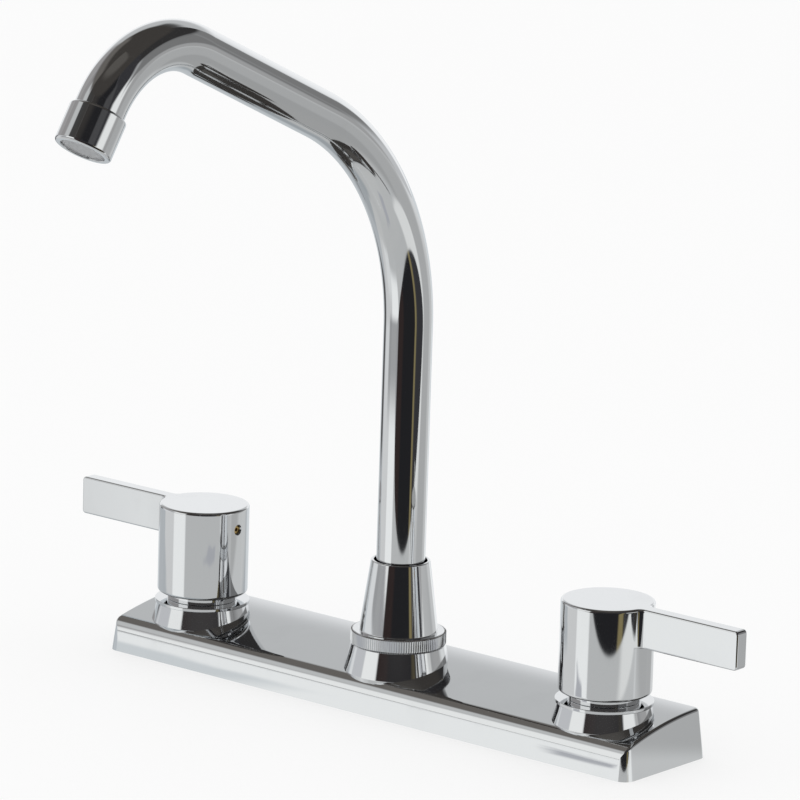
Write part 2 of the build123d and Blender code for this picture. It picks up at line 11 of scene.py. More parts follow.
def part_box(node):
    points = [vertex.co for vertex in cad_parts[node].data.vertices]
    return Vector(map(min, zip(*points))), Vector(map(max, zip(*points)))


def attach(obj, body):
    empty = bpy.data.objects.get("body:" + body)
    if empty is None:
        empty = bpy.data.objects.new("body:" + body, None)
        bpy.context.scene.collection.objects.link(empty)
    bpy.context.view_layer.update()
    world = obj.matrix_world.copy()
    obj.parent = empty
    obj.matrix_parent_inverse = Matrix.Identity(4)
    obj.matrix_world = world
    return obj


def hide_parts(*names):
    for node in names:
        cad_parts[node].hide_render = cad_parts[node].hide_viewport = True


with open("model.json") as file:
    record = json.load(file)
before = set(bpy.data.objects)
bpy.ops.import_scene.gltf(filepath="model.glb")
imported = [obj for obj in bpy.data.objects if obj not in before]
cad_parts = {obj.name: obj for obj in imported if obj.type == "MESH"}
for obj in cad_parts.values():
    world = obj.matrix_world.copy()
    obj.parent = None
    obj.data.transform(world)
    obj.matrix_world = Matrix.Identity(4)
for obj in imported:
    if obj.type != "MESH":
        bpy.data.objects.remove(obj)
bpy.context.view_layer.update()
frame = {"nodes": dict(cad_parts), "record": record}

bl_info = {
    "name": "Two handle kitchen faucet",
    "version": (1, 0, 0),
    "blender": (4, 5, 0),
    "location": "3D View > Sidebar > Faucet",
    "description": "Builds the plated and turned pieces of a deck mounted faucet",
    "category": "Object",
}

HANDS = (("left", -1), ("right", 1))  # name, and the way that the lever points along X
PAST = 0.002  # how far a cutting shape reaches past the face that it opens


# ---------------------------------------------------------------- properties


def size(label, about, value):
    """A length in metres."""
    return bpy.props.FloatProperty(
        name=label, description=about, default=value, min=0.0, precision=5, subtype="DISTANCE", unit="LENGTH"
    )


def tint(label, about, value):
    """A linear colour."""
    return bpy.props.FloatVectorProperty(
        name=label, description=about, default=value, min=0.0, max=1.0, size=3, subtype="COLOR"
    )


def share(label, about, value):
    """A number from nought to one."""
    return bpy.props.FloatProperty(
        name=label, description=about, default=value, min=0.0, max=1.0, subtype="FACTOR"
    )


def turn(label, about, degrees):
    """An angle."""
    return bpy.props.FloatProperty(
        name=label, description=about, default=radians(degrees), subtype="ANGLE", unit="ROTATION"
    )


def tally(label, about, value, least):
    """A whole number."""
    return bpy.props.IntProperty(name=label, description=about, default=value, min=least)


class PlateSizes(bpy.types.PropertyGroup):
    length: size("Length", "Plate from end to end at its foot", 0.262)
    front: size("Front", "From the handle axes to the front bottom edge", 0.0235)
    back: size("Back", "From the handle axes to the back bottom edge", 0.028)
    height: size("Height", "Plate at its back edge", 0.0194)
    wall: size("Wall", "Thickness of the casting", 0.0024)
    corner: size("Corner", "Radius of the upright corners at the foot", 0.005)
    crown: size("Crown", "Radius of the crowned top", 0.184)
    shoulder_setback: size("Shoulder setback", "From the front edge back to the start of the roll", 0.006)
    shoulder: size("Shoulder", "Radius of the roll at the front of the crown", 0.00655)
    shoulder_slope: turn("Shoulder slope", "Slope at which the roll ends", 81.5)
    draft: turn("Draft", "Lean of the plate's walls", 7.5)
    edge: size("Edge", "Round between the top and the walls", 0.0015)
    base_start: size("Base start", "Height inside the plate where the bases start", 0.010)
    base_lip: size("Base lip", "Height of the lowest edge of the flared bases", 0.0138)
    base_flare: share("Base flare", "How much a base widens for each length down", 0.3)
    rim: size("Base rim", "Radius of the flared bases at their rim", 0.0179)
    handle_seat: size("Handle seat", "Height of the seat under each handle", 0.0226)
    handle_rim_drop: size("Rim drop", "From the handle seat down to the rim of its base", 0.0013)
    brim: size("Brim", "Radius of the flat brim on top of each handle base", 0.0189)
    spout_seat: size("Spout seat", "Height of the seat under the spout nut", 0.0244)
    valve_pocket: size("Valve pocket", "Radius of the pockets for the valve bodies", 0.0149)
    valve_neck: size("Valve neck", "Radius of the holes in the handle seats", 0.0123)
    post_pocket: size("Post pocket", "Radius of the pocket for the spout post", 0.0153)
    post_neck: size("Post neck", "Radius of the hole in the spout seat", 0.0119)
    valve_wall: size("Valve wall", "Thickness of the seats over the valve pockets", 0.0031)
    post_wall: size("Post wall", "Thickness of the seat over the post's pocket", 0.0021)


class HandleSizes(bpy.types.PropertyGroup):
    spacing: size("Spacing", "Between the handle axes", 0.2032)
    hub: size("Hub", "Radius of the round hub", 0.018)
    top_round: size("Top round", "Round of the hub's top edge", 0.0011)
    foot_round: size("Foot round", "Round of the hub's foot", 0.0014)
    skirt: size("Skirt", "How far the hub's wall reaches below its solid", 0.0012)
    cavity: size("Cavity", "Radius of the hollow under the hub", 0.0152)
    cavity_depth: size("Cavity depth", "Depth of the hollow under the hub", 0.0127)
    socket: size("Socket", "Radius of the hole for the stem", 0.00445)
    socket_depth: size("Socket depth", "Depth of the hole for the stem", 0.018)
    reach: size("Reach", "From the handle's axis to the lever's tip", 0.063)
    blade_height: size("Blade height", "Lever from top to bottom", 0.0152)
    blade: size("Blade", "Thickness of the lever", 0.006)
    tip_round: size("Tip round", "Round of the tip, seen from the side", 0.0016)
    blade_round: size("Blade round", "Round of the lever's long edges", 0.0007)
    root_round: size("Root round", "Round where the lever leaves the hub", 0.003)
    screw: size("Screw hole", "Radius of the hole for the set screw", 0.00165)
    screw_drop: size("Screw drop", "From the hub's top down to the set screw", 0.0079)
    bonnet: size("Bonnet nut", "Radius of the nut under the hub", 0.014)
    bonnet_bore: size("Bonnet bore", "Radius of the nut's bore round the cartridge", 0.01205)
    bonnet_hole: size("Bonnet hole", "Radius of the hole for the stem", 0.0073)
    bonnet_wall: size("Bonnet wall", "Thickness of the nut's top", 0.0025)


class SpoutSizes(bpy.types.PropertyGroup):
    tube: size("Tube", "Outside radius of the tube", 0.009525)
    wall: size("Tube wall", "Thickness of the tube", 0.00095)
    foot: size("Foot", "Height where the tube starts", 0.0471)
    riser_top: size("Riser top", "Height where the first bend starts", 0.1502)
    main_bend: size("Main bend", "Radius of the first bend on the tube's middle line", 0.099)
    reach: size("Reach", "Straight run between the bends", 0.0768)
    tip_bend: size("Tip bend", "Radius of the second bend on the tube's middle line", 0.040)
    tip: size("Tip", "Straight tube past the second bend, up to the aerator", 0.0025)
    thread: size("Thread", "Tube inside the aerator", 0.006)
    aerator: size("Aerator", "Radius of the sleeve", 0.0109)
    aerator_length: size("Aerator length", "Length of the sleeve", 0.0155)
    knurl: size("Knurl", "Radius of the nut's knurled ring", 0.0187)
    knurl_drop: size("Knurl drop", "How far the knurled ring reaches below its solid", 0.0010)
    knurl_height: size("Knurl height", "Height of the knurled ring", 0.0050)
    knurl_depth: size("Knurl depth", "Depth of the knurling", 0.0006)
    collar_foot: size("Collar foot", "Radius of the nut's collar at its foot", 0.0154)
    collar_top: size("Collar top", "Radius of the nut's collar at its top", 0.0115)
    nut_bore: size("Nut bore", "Radius of the nut's bore, up to the glide ring", 0.01165)
    nut_relief: size("Nut relief", "Radius of the relief at the foot of the nut's bore", 0.0122)
    nut_mouth: size("Nut mouth", "Radius of the nut's mouth round the tube", 0.0104)
    grille: size("Grille", "Radius of the round opening that the bars cross", 0.0084)
    grille_half: size("Grille half thickness", "Half the thickness of the grille", 0.0008)
    grille_setback: size("Grille setback", "From the sleeve's end up to the grille", 0.0009)
    main_angle: turn("Main angle", "Turn of the first bend", 65.4)
    tip_angle: turn("Tip angle", "Turn of the second bend", 81.6)
    knurl_teeth: tally("Knurl teeth", "Ribs round the nut", 120, 12)
    grille_bars: tally("Grille bars", "Bars across the outlet", 17, 3)


class Finishes(bpy.types.PropertyGroup):
    chrome: tint("Chrome", "Colour of the plating", (0.79, 0.80, 0.81))
    brass: tint("Brass", "Colour of the turned brass", (0.60, 0.42, 0.16))
    copper: tint("Copper", "Colour of the drawn copper tube", (0.62, 0.28, 0.16))
    steel: tint("Zinc plate", "Colour of the zinc plated washers", (0.50, 0.51, 0.53))
    rubber: tint("Rubber", "Colour of the seals", (0.018, 0.018, 0.019))
    ceramic: tint("Ceramic", "Colour of the valve discs", (0.84, 0.82, 0.78))
    white_plastic: tint("White plastic", "Colour of the glide ring and flow piece", (0.72, 0.73, 0.73))
    grey_plastic: tint("Grey plastic", "Colour of the aerator's grille", (0.55, 0.56, 0.57))
    gloss: share("Chrome roughness", "Roughness of the clean plating", 0.035)


class StageLooks(bpy.types.PropertyGroup):
    floor: tint("Floor", "Colour of the floor", (0.95, 0.95, 0.95))


# ---------------------------------------------------------------- outlines and meshes


def rounded(corners, steps=7, closed=True):
    """Outline through corners (x, y, radius), each turned into an arc of its radius."""
    points = []
    count = len(corners)
    for index, (x, y, radius) in enumerate(corners):
        here = Vector((x, y))
        if radius <= 0 or (not closed and index in (0, count - 1)):
            points.append(here)
            continue
        before = (Vector(corners[index - 1][:2]) - here).normalized()
        after = (Vector(corners[(index + 1) % count][:2]) - here).normalized()
        half = before.angle(after) / 2
        middle = here + (before + after).normalized() * (radius / sin(half))
        first = here + before * (radius / tan(half)) - middle
        turn = first.angle_signed(here + after * (radius / tan(half)) - middle)
        for step in range(steps + 1):
            points.append(middle + Matrix.Rotation(-turn * step / steps, 2) @ first)
    return [(point.x, point.y) for point in points]


def loft(mesh, loops, closed=True):
    """Faces between loops of equally many points, each loop a list of (x, y, z)."""
    rows = [[mesh.verts.new(point) for point in loop] for loop in loops]
    for low, high in zip(rows, rows[1:]):
        count = len(low)
        for index in range(count if closed else count - 1):
            after = (index + 1) % count
            mesh.faces.new((low[index], low[after], high[after], high[index]))
    return rows


def ring(radius, height, angles):
    """A level circle of points."""
    return [(radius * cos(angle), radius * sin(angle), height) for angle in angles]


def tidy(mesh):
    """Merge the seams and poles of a closed mesh and turn its faces outwards."""
    bmesh.ops.remove_doubles(mesh, verts=mesh.verts, dist=1e-7)
    bmesh.ops.dissolve_degenerate(mesh, edges=mesh.edges, dist=1e-8)
    bmesh.ops.recalc_face_normals(mesh, faces=mesh.faces)


def turned(profile, segments, place=Matrix()):
    """A turned solid from the closed outline (radius, height) of its section."""
    mesh = bmesh.new()
    angles = [2 * pi * step / segments for step in range(segments)]
    loft(mesh, [ring(radius, height, angles) for radius, height in [*profile, profile[0]]])
    tidy(mesh)
    mesh.transform(place)
    return mesh


def capped(mesh, rows):
    """Close both ends of a loft."""
    mesh.faces.new(rows[0])
    mesh.faces.new(rows[-1])
    tidy(mesh)


def kept(name, mesh):
    """Mesh data from a bmesh, which is used up."""
    data = bpy.data.meshes.new(name)
    mesh.to_mesh(data)
    mesh.free()
    return data


def linked(name, data):
    """An object of the scene with this data."""
    thing = bpy.data.objects.new(name, data)
    bpy.context.scene.collection.objects.link(thing)
    return thing


def new_object(name, mesh):
    """A linked object from a bmesh."""
    return linked(name, kept(name, mesh))


def applied(thing):
    """Turn the object's modifiers into plain mesh."""
    graph = bpy.context.evaluated_depsgraph_get()
    data = bpy.data.meshes.new_from_object(thing.evaluated_get(graph))
    thing.modifiers.clear()
    old, thing.data = thing.data, data
    bpy.data.meshes.remove(old)
    return thing


def combined(thing, other, operation):
    """Boolean of two closed objects. The second one is used up."""
    change = thing.modifiers.new(operation, "BOOLEAN")
    change.object, change.operation, change.solver = other, operation, "EXACT"
    applied(thing)
    bpy.data.objects.remove(other)


def shaded(thing, sharp=radians(28)):
    """Smooth shading that keeps flats flat and breaks at real edges."""
    thing.data.shade_smooth()
    thing.data.set_sharp_from_angle(angle=sharp)
    weigh = thing.modifiers.new("weighted normals", "WEIGHTED_NORMAL")
    weigh.keep_sharp, weigh.weight, weigh.thresh = True, 100, 0.01
    return applied(thing)


def handed_over(thing, body, slot, node):
    """Give a finished piece the material of its slot and its body, and hide the CAD node that it stands for."""
    thing.data.materials.clear()
    thing.data.materials.append(dressed(slot, thing.name))
    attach(thing, body)
    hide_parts(node)


# ---------------------------------------------------------------- node trees


class Number:
    """One number of a node tree. Python expressions on it add Math nodes."""

    def __init__(self, tree, socket):
        self.tree, self.socket = tree, socket

    def math(self, operation, *values):
        node = self.tree.add("ShaderNodeMath", {"operation": operation}, dict(enumerate(values)))
        return Number(self.tree, node.outputs[0])

    def __add__(self, other):
        return self.math("ADD", self, other)

    def __sub__(self, other):
        return self.math("SUBTRACT", self, other)

    def __rsub__(self, other):
        return self.math("SUBTRACT", other, self)

    def __mul__(self, other):
        return self.math("MULTIPLY", self, other)

    def __pow__(self, other):
        return self.math("POWER", self, other)

    def larger(self, other):
        return self.math("MAXIMUM", self, other)

    __radd__, __rmul__ = __add__, __mul__

    def within(self, low, high):
        """Nought at low, one at high, and a soft rise between them."""
        sockets = {0: self, 1: low, 2: high}
        rise = self.tree.add("ShaderNodeMapRange", {"interpolation_type": "SMOOTHSTEP"}, sockets)
        return Number(self.tree, rise.outputs[0])

    def between(self, start, full, fading, gone):
        """A soft band: it rises from start to full and falls from fading to gone."""
        return self.within(start, full) * (1 - self.within(fading, gone))


class Tree:
    """A node tree that is filled in one call for each node."""

    def __init__(self, tree):
        self.tree = tree
        tree.nodes.clear()

    def add(self, kind, settings=None, sockets=None):
        """A node of a kind, with its settings and with the values or links of its sockets."""
        node = self.tree.nodes.new(kind)
        for name, value in (settings or {}).items():
            setattr(node, name, value)
        for name, value in (sockets or {}).items():
            source = getattr(value, "socket", value)
            if isinstance(source, bpy.types.NodeSocket):
                self.tree.links.new(source, node.inputs[name])
            else:
                node.inputs[name].default_value = source
        return node

    def noise(self, place, scale, detail=2.0, roughness=0.5, stretch=(1, 1, 1)):
        """Soft noise on the piece's own coordinates, from nought to one."""
        moved = self.add("ShaderNodeMapping", {}, {"Vector": place, "Scale": stretch}).outputs[0]
        sockets = {"Vector": moved, "Scale": scale, "Detail": detail, "Roughness": roughness}
        return Number(self, self.add("ShaderNodeTexNoise", {}, sockets).outputs[0])

    def mix(self, factor, first, second):
        """A colour between two colours."""
        ends = [(*colour, 1.0) if isinstance(colour, tuple) else colour for colour in (first, second)]
        sockets = {0: factor, 6: ends[0], 7: ends[1]}
        return self.add("ShaderNodeMix", {"data_type": "RGBA"}, sockets).outputs[2]


def material(name):
    """A fresh material with its tree, its output fed by a Principled shader, and object coordinates."""
    made = bpy.data.materials.new(name)
    made.use_nodes = True
    tree = Tree(made.node_tree)
    shader = tree.add("ShaderNodeBsdfPrincipled")
    tree.add("ShaderNodeOutputMaterial", {}, {"Surface": shader.outputs[0]})
    place = tree.add("ShaderNodeTexCoord").outputs["Object"]
    return made, tree, shader, place


def shades(colour, *factors):
    """The same colour made darker or lighter."""
    return [tuple(min(part * factor, 1.0) for part in colour) for factor in factors]


def started(label, name, colour, low, high):
    """A fresh material with its tree, and the darkest and lightest shade of its finish."""
    whole = getattr(bpy.context.scene.faucet_finishes, colour)
    return *material(f"{label} {name}"), *shades(whole, low, high)


def finish(shader, tree, metallic, colour, roughness, height=None, strength=0.0, depth=0.0):
    """Set or link what a finish varies."""
    shader.inputs["Metallic"].default_value = metallic
    tree.tree.links.new(colour, shader.inputs["Base Color"])
    tree.tree.links.new(roughness.socket, shader.inputs["Roughness"])
    if height is not None:
        bump = tree.add("ShaderNodeBump", {}, {"Strength": strength, "Distance": depth, "Height": height})
        tree.tree.links.new(bump.outputs[0], shader.inputs["Normal"])


def chrome(name):
    """Bright plating over polished metal: faint swirls from buffing and a few dull smears."""
    made, tree, shader, place, dark, light = started("chrome", name, "chrome", 0.965, 1.0)
    smear = tree.noise(place, 45, 4, 0.6, (1, 1, 0.6)).within(0.52, 0.74)
    buffing = tree.noise(place, 900, 3, 0.7, (1, 1, 0.12))
    wave = tree.noise(place, 26, 1, 0.4)
    finish(
        shader, tree, 1.0, tree.mix(smear * 0.7 + buffing * 0.3, light, dark),
        smear * 0.035 + buffing * 0.02 + bpy.context.scene.faucet_finishes.gloss,
        wave + buffing * 0.004, 0.12, 0.00012,
    )
    return made


# Each plainer finish: what its material is called, its darkest and lightest shade, how metallic it is, the
# noise that stains it and the noise of its relief (scale, detail, roughness, stretch), how much the stain, the
# relief and the rest add to its roughness, and how strong and how deep the relief is.
PLAINER = {
    # turned brass with fine tool rings and a dull bloom
    "brass": (
        "brass", 0.72, 1.06, 1.0, (140, 5, 0.65), (60, 2, 0.6, (1, 1, 60)), (0.15, 0.12, 0.16), (0.25, 0.00005),
    ),
    # drawn tube with long faint die lines and darker tarnish
    "copper": (
        "copper", 0.6, 1.05, 1.0, (90, 5, 0.6), (40, 2, 0.6, (1, 40, 40)), (0.2, 0.1, 0.15), (0.2, 0.00004),
    ),
    # zinc plate with its cloudy spangle
    "steel": ("zinc", 0.8, 1.1, 1.0, (260, 4, 0.55), None, (0.22, 0.0, 0.24), (0.12, 0.00005)),
    # moulded seals with a fine dusty grain
    "rubber": ("rubber", 0.7, 2.2, 0.0, (160, 3, 0.6), (2400, 4, 0.6), (0.15, 0.0, 0.55), (0.3, 0.00004)),
    # lapped discs, nearly white, with faint lapping lines
    "ceramic": (
        "ceramic", 0.93, 1.03, 0.0, (220, 2), (1500, 3, 0.6, (1, 0.2, 1)), (0.0, 0.08, 0.12), (0.05, 0.00002),
    ),
    # moulded acetal with a waxy skin
    "white_plastic": ("acetal", 0.93, 1.03, 0.0, (700, 3, 0.55), None, (0.15, 0.0, 0.32), (0.15, 0.00003)),
    # moulded grey plastic of the outlet grille
    "grey_plastic": (
        "grille plastic", 0.85, 1.1, 0.0, (900, 3, 0.55), None, (0.15, 0.0, 0.35), (0.15, 0.00003),
    ),
}


def dressed(slot, name):
    """The material of a slot, made for the piece of this name."""
    if slot == "chrome":
        return chrome(name)
    label, low, high, metallic, stain, relief, dull, bump = PLAINER[slot]
    made, tree, shader, place, dark, light = started(label, name, slot, low, high)
    stained = tree.noise(place, *stain)
    raised = tree.noise(place, *relief) if relief else stained
    roughness = stained * dull[0] + raised * dull[1] + dull[2]
    finish(shader, tree, metallic, tree.mix(stained, dark, light), roughness, raised, *bump)
    return made


# ---------------------------------------------------------------- deck plate


def top_height(across, plate, drop=0.0):
    """Height of the crowned top and its front shoulder at y, lowered by drop, and its slope."""
    crown, roll = plate.crown - drop, plate.shoulder - drop
    lean = (plate.front - plate.shoulder_setback + plate.back) / plate.crown
    centre_z = plate.height - plate.crown
    start = (plate.back - crown * lean, centre_z + crown * sqrt(1 - lean**2))
    middle = (start[0] + roll * lean, start[1] - roll * sqrt(1 - lean**2))
    finish_y = middle[0] - roll * sin(plate.shoulder_slope)
    finish_z = middle[1] + roll * cos(plate.shoulder_slope)
    if across >= start[0]:
        away = plate.back - across
        return centre_z + sqrt(crown**2 - away**2), away / sqrt(crown**2 - away**2)
    if across >= finish_y:
        away = middle[0] - across
        return middle[1] + sqrt(roll**2 - away**2), away / sqrt(roll**2 - away**2)
    return finish_z - (finish_y - across) * tan(plate.shoulder_slope), tan(plate.shoulder_slope)


def plate_section(foot, outward, plate, drop, edge, low, steps=8):
    """Points up the wall, over the rim and onto the top, in the upright plane through one outline point."""
    draft = plate.draft

    def meeting(inward):
        height, slope = top_height(foot[1] - outward[1] * inward, plate, drop)
        slope *= -outward[1]
        long = sqrt(1 + slope**2)
        normal = Vector((-slope / long, 1 / long))
        centre = Vector((inward, height)) - edge * normal
        return centre.x - centre.y * tan(draft) - edge / cos(draft), centre, normal

    # The round's centre, this far in from the foot, is found by halving.
    near, far = 0.0, 0.016
    for _ in range(50):
        middle = (near + far) / 2
        if meeting(middle)[0] < 0:
            near = middle
        else:
            far = middle
    _, centre, normal = meeting(far)
    start, end = pi - draft, atan2(normal.y, normal.x)
    points = [(low * tan(draft), low)]
    for step in range(steps + 1):
        angle = start + (end - start) * step / steps
        points.append((centre.x + edge * cos(angle), centre.y + edge * sin(angle)))
    return [(foot[0] - outward[0] * inward, foot[1] - outward[1] * inward, height) for inward, height in points]


def plate_block(plate, inset, drop, edge, low, rows=84, turns=20):
    """The plate's drafted block under its crowned top."""
    half, front, back = plate.length / 2 - inset, plate.front - inset, plate.back - inset
    corner = max(plate.corner - inset, plate.edge)
    run = front + back - 2 * corner

    def quarter(start, middle_y):
        middle_x = half - corner
        for step in range(turns + 1):
            x, y = cos(start + pi / 2 * step / turns), sin(start + pi / 2 * step / turns)
            yield (middle_x + corner * x, middle_y + corner * y), (x, y)

    # The right hand half, from the front to the back, as (point, outward normal).
    outline = [
        *quarter(-pi / 2, corner - front),
        *(((half, -front + corner + run * step / rows), (1, 0)) for step in range(1, rows)),
        *quarter(0, back - corner),
    ]
    right = [plate_section(foot, outward, plate, drop, edge, low) for foot, outward in outline]
    left = [[(-x, y, z) for x, y, z in section] for section in right]
    mesh = bmesh.new()
    columns = loft(mesh, [*right, *reversed(left), right[0]], closed=False)
    count = len(right)
    tops = [column[-1] for column in columns]
    for index in range(count - 1):
        mirror = 2 * count - 1 - index
        mesh.faces.new((tops[index], tops[index + 1], tops[mirror - 1], tops[mirror]))
    tidy(mesh)
    rim = [edge for edge in mesh.edges if edge.is_boundary]
    bmesh.ops.contextual_create(mesh, geom=rim)
    tidy(mesh)
    return mesh


def joined(*meshes):
    """Several closed meshes as one."""
    whole = bmesh.new()
    for mesh in meshes:
        data = kept("part", mesh)
        whole.from_mesh(data)
        bpy.data.meshes.remove(data)
    return whole


class FAUCET_OT_deck_plate(bpy.types.Operator):
    """Cast the crowned plate with its three flared bases"""

    bl_idname = "faucet.deck_plate"
    bl_label = "Deck plate"

    def execute(self, context):
        plate, handle = context.scene.faucet_plate, context.scene.faucet_handle
        bases, pockets = [], []
        for x in (-handle.spacing / 2, 0.0, handle.spacing / 2):
            seat = plate.handle_seat if x else plate.spout_seat
            rim = seat - plate.handle_rim_drop if x else seat
            # The flared base from its start inside the plate up to its lip, then its brim or rim, and the seat.
            foot = plate.rim + plate.base_flare * (rim - plate.base_lip)
            hidden = foot - 0.0013
            corners = [(0, plate.base_start, 0), (hidden, plate.base_start, 0), (foot, plate.base_lip, 0.0003)]
            if x:
                neck, brim = plate.rim + 0.0003, plate.brim
                corners += [(neck, rim - 0.0001, 0), (brim, rim, 0.0002), (brim, seat, 0.00025), (0, seat, 0)]
            else:
                corners += [(plate.rim + 0.0006, rim, 0.0003), (plate.rim - 0.001, seat, 0), (0, seat, 0)]
            bases.append(turned(rounded(corners), 192, Matrix.Translation((x, 0, 0))))
            pocket = plate.valve_pocket if x else plate.post_pocket
            hole = plate.valve_neck if x else plate.post_neck
            wall = plate.valve_wall if x else plate.post_wall
            # The pocket under the seat, and the narrower hole through it.
            floor, shoulder, over = -PAST, seat - wall, seat + PAST
            bore = [(0, floor), (pocket, floor), (pocket, shoulder), (hole, shoulder), (hole, over), (0, over)]
            pockets.append(turned(bore, 96, Matrix.Translation((x, 0, 0))))
        piece = new_object("deck_plate_cast", plate_block(plate, 0.0, 0.0, plate.edge, 0.0))
        combined(piece, new_object("bases", joined(*bases)), "UNION")
        inside = plate_block(plate, plate.wall, plate.wall, 0.0002, -PAST / 2)
        combined(piece, new_object("inside", inside), "DIFFERENCE")
        combined(piece, new_object("pockets", joined(*pockets)), "DIFFERENCE")
        handed_over(shaded(piece), "base", "chrome", "deck_plate")
        return {"FINISHED"}


# ---------------------------------------------------------------- handles


def keyhole(hub, half, tip, root, corner, back_steps=132, root_steps=9, corner_steps=5):
    """Level outline of hub and lever: the hub's back arc first, then the lever's part."""
    centre_x = sqrt((hub + root) ** 2 - (half + root) ** 2)
    start = atan2(half + root, centre_x)
    back = [start + (2 * pi - 2 * start) * step / back_steps for step in range(back_steps + 1)]
    hub_arc = [(hub * cos(angle), hub * sin(angle)) for angle in back]
    side = []
    for step in range(1, root_steps + 1):
        angle = pi - start + (start - pi / 2) * step / root_steps
        side.append((centre_x + root * cos(angle), -half - root + root * sin(angle)))
    for step in range(corner_steps + 1):
        angle = -pi / 2 + pi / 2 * step / corner_steps
        side.append((tip - corner + corner * cos(angle), -half + corner + corner * sin(angle)))
    return hub_arc, side + [(x, -y) for x, y in reversed(side)], back


def handle_mesh(handle, foot, top):
    """Hub and lever as one casting, with the lever along +X."""
    low = top - handle.blade_height
    mesh = bmesh.new()

    def inset(radius, depth):
        reach = max(radius - depth, 0.0)
        return radius - sqrt(radius**2 - reach**2)

    # Levels from the top down, each with the hub's radius there: the upper half rounds the hub's top too.
    steps = 16
    depths = [handle.tip_round * (1 - cos(pi / 2 * step / steps)) for step in range(steps + 1)]
    levels = [(top - depth, depth, handle.hub - inset(handle.top_round, depth)) for depth in depths]
    levels += [(low + depth, depth, handle.hub) for depth in reversed(depths)]
    loops = []
    for height, depth, hub in levels:
        side, tip = inset(handle.blade_round, depth), handle.reach - inset(handle.tip_round, depth)
        corner = max(handle.blade_round - side, 0.00002)
        arc, lever, angles = keyhole(hub, handle.blade / 2 - side, tip, handle.root_round, corner)
        loops.append([(x, y, height) for x, y in arc + lever])
    built = loft(mesh, loops)
    mesh.faces.new(built[0])
    # The lever's underside meets the hub along the front arc, which the lower part of the hub carries on.
    half, front_steps = angles[0], 14
    front = [-half + 2 * half * step / front_steps for step in range(front_steps + 1)]
    arc_count = len(arc)
    meeting = [mesh.verts.new((handle.hub * cos(angle), handle.hub * sin(angle), low)) for angle in front[1:-1]]
    mesh.faces.new(built[-1][arc_count - 1:] + [built[-1][0]] + meeting[::-1])
    around = angles + front[1:-1]
    cavity_top = foot + handle.cavity_depth
    corners = [
        (handle.hub, low, 0), (handle.hub, foot - handle.skirt, handle.foot_round),
        (handle.cavity, foot - handle.skirt, 0.0003),
        (handle.cavity, cavity_top, 0.0006), (handle.socket, cavity_top, 0.0002),
        (handle.socket, cavity_top + handle.socket_depth, 0),
    ]
    profile = rounded(corners, 8, closed=False)
    lower = loft(mesh, [ring(radius, height, around) for radius, height in profile])
    mesh.faces.new(lower[-1])
    tidy(mesh)
    return mesh


class FAUCET_OT_handles(bpy.types.Operator):
    """Cast both handles: round hub, flat lever and a hole for the set screw"""

    bl_idname = "faucet.handles"
    bl_label = "Handles"

    def execute(self, context):
        handle = context.scene.faucet_handle
        for hand, outward in HANDS:
            low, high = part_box(f"{hand}_handle")
            x = outward * handle.spacing / 2
            mesh = handle_mesh(handle, low[2], high[2])
            mesh.transform(Matrix.Translation((x, 0, 0)) @ Matrix.Diagonal((outward, 1, 1, 1)))
            bmesh.ops.recalc_face_normals(mesh, faces=mesh.faces)
            piece = new_object(f"{hand}_handle_cast", mesh)
            # The screw's hole, from inside the socket out past the hub, with a countersunk mouth.
            mouth, depth = handle.hub + PAST / 2, handle.socket - PAST / 2
            screw, sink, flare = handle.screw, handle.hub - 0.00055, 0.0016
            corners = [(0, depth), (screw, depth), (screw, sink), (screw + flare, mouth), (0, mouth)]
            axis = Matrix.Translation((x, 0, high[2] - handle.screw_drop))
            drill = turned(corners, 48, axis @ Matrix.Rotation(-outward * pi / 2, 4, "Y"))
            combined(piece, new_object("drill", drill), "DIFFERENCE")
            handed_over(shaded(piece), f"{hand}_handle_group", "chrome", f"{hand}_handle")
        return {"FINISHED"}


class FAUCET_OT_bonnet_nuts(bpy.types.Operator):
    """Turn the smooth bonnet nut under each hub"""

    bl_idname = "faucet.bonnet_nuts"
    bl_label = "Bonnet nuts"

    def execute(self, context):
        handle = context.scene.faucet_handle
        for hand, outward in HANDS:
            low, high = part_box(f"{hand}_bonnet_nut")
            foot, top = low[2], high[2]
            bore, hole, ceiling = handle.bonnet_bore, handle.bonnet_hole, top - handle.bonnet_wall
            corners = [
                (bore, foot, 0), (handle.bonnet, foot, 0.0003), (handle.bonnet, top, 0.0005),
                (hole, top, 0.0002), (hole, ceiling, 0), (bore, ceiling, 0),
            ]
            place = Matrix.Translation((outward * handle.spacing / 2, 0, 0))
            piece = new_object(f"{hand}_bonnet_nut_turned", turned(rounded(corners), 144, place))
            handed_over(shaded(piece), "base", "chrome", f"{hand}_bonnet_nut")
        return {"FINISHED"}


# ---------------------------------------------------------------- repeats and paths


def node_group(name, numbers):
    """A Geometry Nodes tree with a geometry input and output and named numbers."""
    group = bpy.data.node_groups.new(name, "GeometryNodeTree")
    face = group.interface
    face.new_socket("Geometry", in_out="INPUT", socket_type="NodeSocketGeometry")
    face.new_socket("Geometry", in_out="OUTPUT", socket_type="NodeSocketGeometry")
    for label, kind, value in numbers:
        face.new_socket(label, in_out="INPUT", socket_type=kind).default_value = value
    face.new_socket("Material", in_out="INPUT", socket_type="NodeSocketMaterial")
    tree = Tree(group)
    return group, tree, tree.add("NodeGroupInput").outputs


def closed_tree(tree, made, inputs):
    """End a tree in Realize Instances and Set Material."""
    real = tree.add("GeometryNodeRealizeInstances", {}, {"Geometry": made}).outputs[0]
    merged = tree.add("GeometryNodeMergeByDistance", {}, {"Geometry": real, "Distance": 1e-7}).outputs[0]
    dressed = tree.add("GeometryNodeSetMaterial", {}, {"Geometry": merged, "Material": inputs["Material"]})
    tree.add("NodeGroupOutput", {}, {"Geometry": dressed.outputs[0]})


